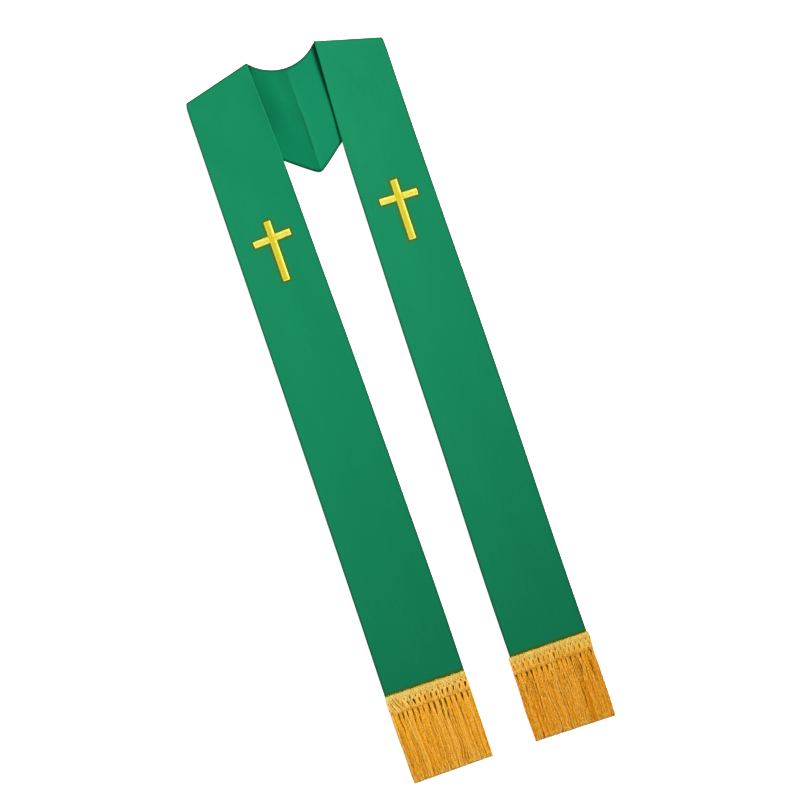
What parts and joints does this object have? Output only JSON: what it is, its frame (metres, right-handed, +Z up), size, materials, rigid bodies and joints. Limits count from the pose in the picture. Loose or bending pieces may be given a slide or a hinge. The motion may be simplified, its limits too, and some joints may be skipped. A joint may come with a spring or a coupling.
{
  "type": "clerical stole",
  "caption": "Long narrow vestment stole laid flat, its fronts folded over a pointed back neck, with a plain cross on each front and a fringe along each hem.",
  "frame": {"origin": "on the surface that the stole lies on, under the middle of its outline", "axes": "+Y along the fronts towards the neck, +X towards the right-hand front as seen from above, +Z up from the surface"},
  "size_m": [0.3715, 1.2735, 0.0131],
  "materials": {
    "outer_cloth": "woven polyester with a low sheen",
    "lining_cloth": "woven polyester lining with a low sheen",
    "embroidery_thread": "satin-stitched rayon thread",
    "fringe_thread": "chainette of twisted rayon thread"
  },
  "bodies": {
    "root": {"strip_left": "outer_cloth", "strip_right": "outer_cloth", "lining_left": "lining_cloth", "lining_right": "lining_cloth", "cross_left": "embroidery_thread", "cross_right": "embroidery_thread", "fringe_left": "fringe_thread", "fringe_right": "fringe_thread"}
  },
  "joints": []
}
